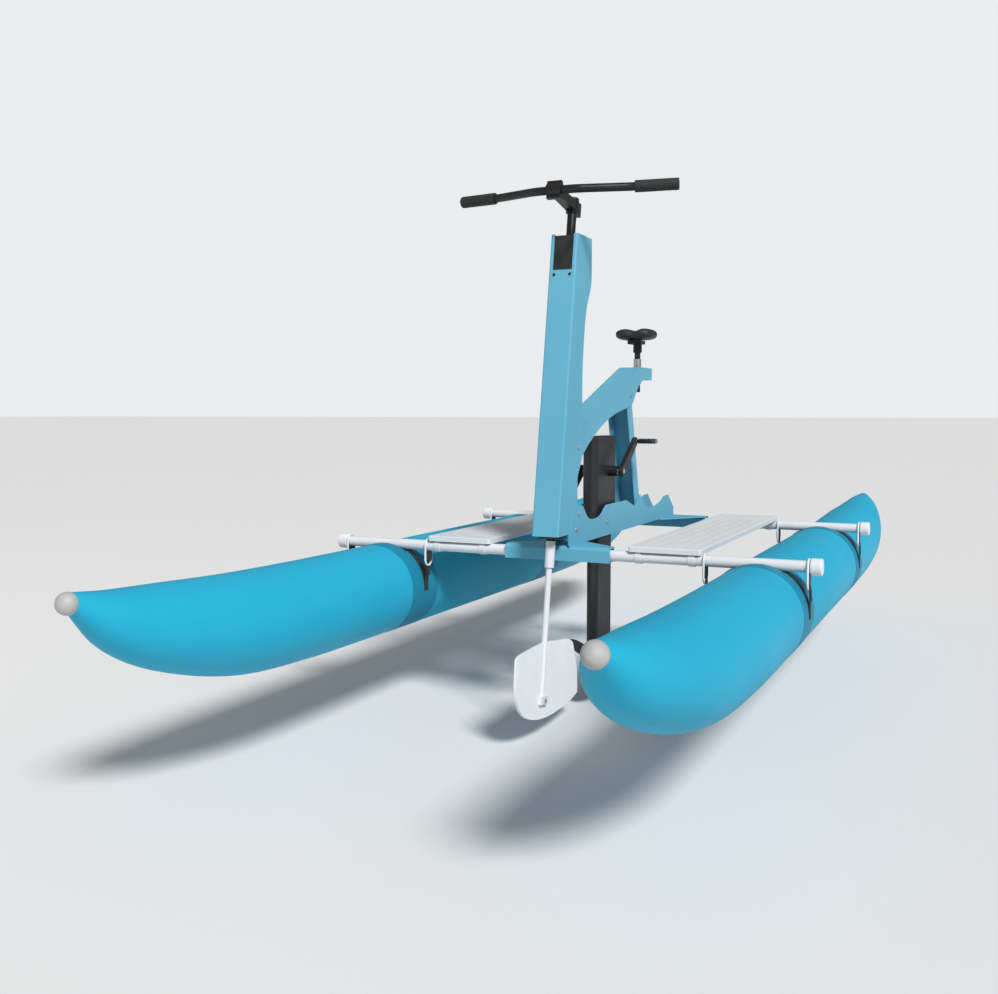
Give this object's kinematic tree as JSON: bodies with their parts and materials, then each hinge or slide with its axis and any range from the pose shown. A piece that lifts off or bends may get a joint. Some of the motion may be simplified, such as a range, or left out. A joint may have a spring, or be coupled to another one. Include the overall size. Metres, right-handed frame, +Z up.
{
  "type": "pedal boat",
  "caption": "Pedal boat on two inflatable floats: folded sheet frame with mast, handlebar-turned rudder, seat, cranks and a leg-driven propeller.",
  "frame": {"origin": "on the waterline, on the centreline, midway between the cross tubes", "axes": "+Z up, +X to port, -Y towards the bow"},
  "size_m": [1.61, 3.9656, 1.6962],
  "materials": {
    "float_skin": "satin",
    "float_band": "satin",
    "nose_rubber": "satin",
    "valve_plastic": "satin",
    "webbing": "matte",
    "white_plastic": "gloss",
    "black_plastic": "satin",
    "white_paint": "satin",
    "deck_grey": "satin",
    "frame_blue": "satin",
    "leg_black": "satin",
    "bare_aluminium": "satin",
    "black_aluminium": "satin",
    "bright_steel": "satin",
    "blade_grey": "satin",
    "prop_grey": "satin",
    "soft_black": "matte"
  },
  "bodies": {
    "frame": {"air_valves": "valve_plastic", "arm_cover": "frame_blue", "base_plates": "frame_blue", "cross_members": "frame_blue", "cross_tubes": "white_paint", "deck_clamps": "deck_grey", "decks": "deck_grey", "drive_bearings": "bright_steel", "float_bands": "float_band", "float_port": "float_skin", "float_starboard": "float_skin", "frame_bolts": "bright_steel", "gear_case": "leg_black", "gear_case_lid": "leg_black", "head_panel": "black_plastic", "leg_clamp": "leg_black", "lower_bearing_housing": "black_plastic", "lower_leg": "leg_black", "mast_cover": "frame_blue", "mast_rear_cover": "frame_blue", "mast_sides": "frame_blue", "nacelle": "leg_black", "nose_caps": "nose_rubber", "seat_block": "frame_blue", "seat_strut": "frame_blue", "seat_tube": "bare_aluminium", "steering_bearings": "bright_steel", "strap_buckles": "black_plastic", "straps": "webbing", "tube_end_caps": "white_plastic", "tube_links": "white_plastic", "upper_bearing_housing": "black_plastic"},
    "steering": {"steering_column": "black_aluminium", "stem": "black_aluminium", "stem_cap": "black_plastic", "stem_faceplate": "black_aluminium", "handlebar": "black_aluminium", "grips": "soft_black", "rudder_sleeve": "white_paint", "rudder_shaft": "bare_aluminium", "rudder_blade": "blade_grey", "rudder_clips": "bare_aluminium", "rudder_bolts": "bright_steel"},
    "crank": {"crank_axle": "bright_steel", "crown_gear": "bright_steel", "cranks": "leg_black", "pedal_spindles": "bright_steel"},
    "pedal_port": {"pedal_port": "black_plastic"},
    "pedal_starboard": {"pedal_starboard": "black_plastic"},
    "drive": {"drive_shaft": "bright_steel", "upper_pinion": "bright_steel", "lower_gear": "bright_steel"},
    "prop": {"propeller_shaft": "bright_steel", "propeller_pinion": "bright_steel", "propeller": "prop_grey"},
    "seat": {"seat_post": "black_aluminium", "saddle_clamp": "black_aluminium", "saddle": "soft_black"}
  },
  "joints": [
    {"name": "steering_hinge", "type": "hinge", "parent": "frame", "child": "steering", "pos_m": [0, -0.653, 0.19], "axis": [0, 0.1633, 0.9866], "range_deg": [-45, 45]},
    {"name": "crank_spin", "type": "hinge", "parent": "frame", "child": "crank", "pos_m": [0, -0.182, 0.429], "axis": [1, 0, 0], "continuous": true},
    {"name": "pedal_port_spin", "type": "hinge", "parent": "crank", "child": "pedal_port", "pos_m": [0.119, -0.04412, 0.52844], "axis": [1, 0, 0], "continuous": true},
    {"name": "pedal_starboard_spin", "type": "hinge", "parent": "crank", "child": "pedal_starboard", "pos_m": [-0.119, -0.31988, 0.32956], "axis": [1, 0, 0], "continuous": true},
    {"name": "shaft_spin", "type": "hinge", "parent": "frame", "child": "drive", "pos_m": [0, -0.182, 0.19], "axis": [0, 0, 1], "continuous": true},
    {"name": "propeller_spin", "type": "hinge", "parent": "frame", "child": "prop", "pos_m": [0, -0.182, -0.28], "axis": [0, 1, 0], "continuous": true},
    {"name": "seat_slide", "type": "slide", "parent": "frame", "child": "seat", "axis": [0, 0, 1], "range_m": [-0.02, 0.08]}
  ],
  "couplings": [
    {"joint": "shaft_spin", "follows": "crank_spin", "ratio": 4},
    {"joint": "propeller_spin", "follows": "crank_spin", "ratio": -8}
  ]
}
